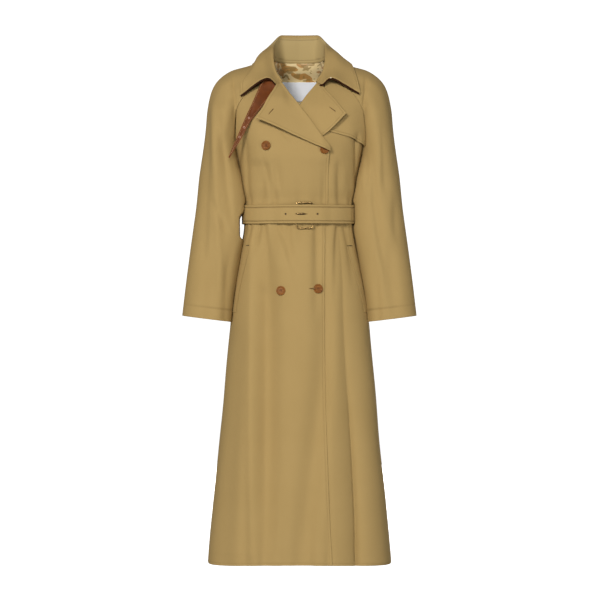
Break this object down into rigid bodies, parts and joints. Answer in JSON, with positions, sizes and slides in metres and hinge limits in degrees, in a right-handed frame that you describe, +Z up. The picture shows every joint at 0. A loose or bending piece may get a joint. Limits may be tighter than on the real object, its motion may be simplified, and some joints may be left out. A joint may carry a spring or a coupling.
{
  "type": "trench coat",
  "caption": "Double-breasted raglan trench coat, belted and filled out as worn, its lapels open and its leather throat latch hanging loose.",
  "frame": {"origin": "centre of the neck's base, between the shoulders, where the wearer's neck and shoulders carry the coat", "axes": "+Z up, -Y the way the front faces, +X the wearer's left; the hem is 1.224 m below the origin and the collar's fold 0.099 m above it"},
  "size_m": [0.584, 0.2997, 1.3231],
  "materials": {
    "gabardine": "matte cotton twill, khaki",
    "leather": "smooth saddle brown",
    "brass": "polished",
    "horn": "satin, brown horn",
    "lining": "satin, printed in golds",
    "label": "white satin"
  },
  "bodies": {
    "root": {"front_right": "gabardine", "front_left": "gabardine", "back": "gabardine", "sleeve_right": "gabardine", "sleeve_left": "gabardine", "lapel_right": "gabardine", "lapel_left": "gabardine", "collar": "gabardine", "under_collar": "leather", "throat_latch": "leather", "storm_flap": "gabardine", "belt": "gabardine", "belt_loop_right": "gabardine", "belt_loop_left": "gabardine", "buckle_frame": "brass", "buckle_prong": "brass", "pocket_welt_right": "gabardine", "pocket_welt_left": "gabardine", "button_chest_right": "horn", "button_chest_left": "horn", "button_skirt_right": "horn", "button_skirt_left": "horn", "lining": "lining", "label": "label"}
  },
  "joints": []
}
